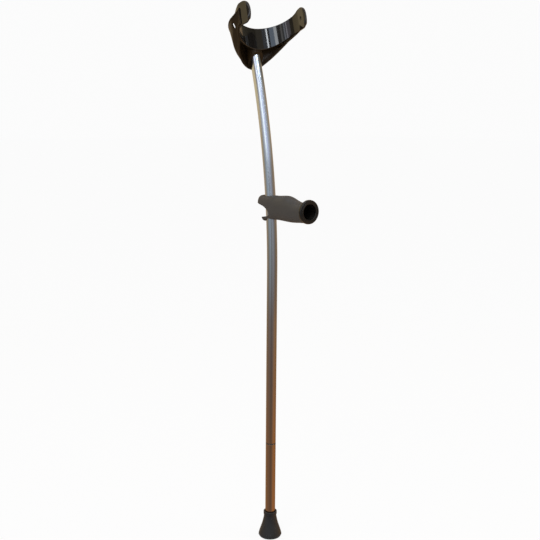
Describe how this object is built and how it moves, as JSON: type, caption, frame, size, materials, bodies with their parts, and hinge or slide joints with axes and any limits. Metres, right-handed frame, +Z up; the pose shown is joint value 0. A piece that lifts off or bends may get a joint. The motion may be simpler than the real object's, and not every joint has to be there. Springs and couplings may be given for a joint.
{
  "type": "forearm crutch",
  "caption": "Forearm crutch with a bent aluminium tube, an open moulded forearm cuff, a forward soft grip, a leg that slides out and locks with a sprung button, and a flared rubber ferrule.",
  "frame": {"origin": "middle of the ferrule's flat foot", "axes": "+Z up along the leg; -Y forward, the way the grip and the cuff's open side point; X across, the crutch being the same on both sides"},
  "size_m": [0.1498, 0.1897, 1.0407],
  "materials": {
    "anodised": "satin anodised",
    "steel": "zinc plated",
    "cuff_plastic": "glossy moulded plastic",
    "soft_grip": "matte soft plastic",
    "hard_plastic": "semi-gloss moulded plastic",
    "nylon": "moulded nylon",
    "rubber": "matte rubber"
  },
  "bodies": {
    "upper": {"main_tube": "anodised", "lower_bush": "nylon", "handle_grip": "soft_grip", "handle_core": "hard_plastic", "handle_end_ring": "hard_plastic", "handle_bolt": "steel", "handle_washer": "steel", "handle_saddle": "nylon", "handle_nut": "steel", "cuff": "cuff_plastic", "cuff_screw": "steel", "tube_top_plug": "nylon"},
    "leg": {"leg_tube": "anodised", "leg_sleeve": "anodised", "sleeve_rivet": "steel", "leg_top_guide": "nylon", "snap_spring": "steel", "leg_end_plug": "nylon", "ferrule": "rubber", "ferrule_washer": "steel"},
    "button": {"snap_button": "steel"}
  },
  "joints": [
    {"name": "leg_slide", "type": "slide", "parent": "upper", "child": "leg", "axis": [0, 0, -1], "range_m": [0, 0.15]},
    {"name": "button_press", "type": "slide", "parent": "leg", "child": "button", "axis": [0, -1, 0], "range_m": [0, 0.004], "stiffness_N_per_m": 400, "springref_m": -0.003, "deforming": ["snap_spring"]}
  ]
}
